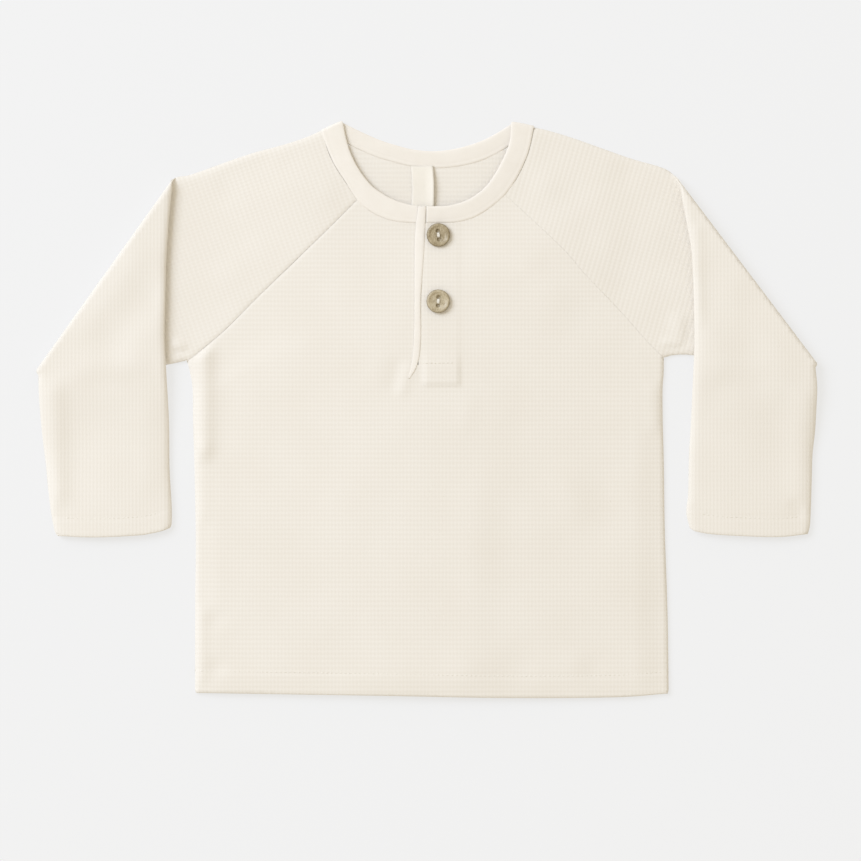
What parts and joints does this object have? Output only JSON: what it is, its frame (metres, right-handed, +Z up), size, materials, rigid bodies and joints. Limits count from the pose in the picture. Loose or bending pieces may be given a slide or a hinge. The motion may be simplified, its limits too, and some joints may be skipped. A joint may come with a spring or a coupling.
{
  "type": "henley shirt",
  "caption": "Baby's long-sleeved raglan henley in cream waffle knit, laid flat with both sleeves folded forward and a two-button placket.",
  "frame": {"origin": "middle of the underside of the shirt, on the surface it lies on", "axes": "+X towards the wearer's left sleeve, across the shirt; +Y from the hem to the neck; +Z up, out of the front of the shirt"},
  "size_m": [0.4226, 0.31, 0.0072],
  "materials": {
    "waffle_knit": "cream cotton waffle knit, matt",
    "neck_jersey": "smooth cream cotton jersey, folded double",
    "label_tape": "bare woven tape, slight sheen",
    "button": "khaki-brown mottled shell, satin"
  },
  "bodies": {
    "root": {"back_panel": "waffle_knit", "front_panel": "waffle_knit", "sleeve_right": "waffle_knit", "sleeve_left": "waffle_knit", "neckband": "neck_jersey", "placket_strip": "neck_jersey", "placket_underlap": "waffle_knit", "neck_label": "label_tape", "button_top": "button", "button_bottom": "button"}
  },
  "joints": []
}
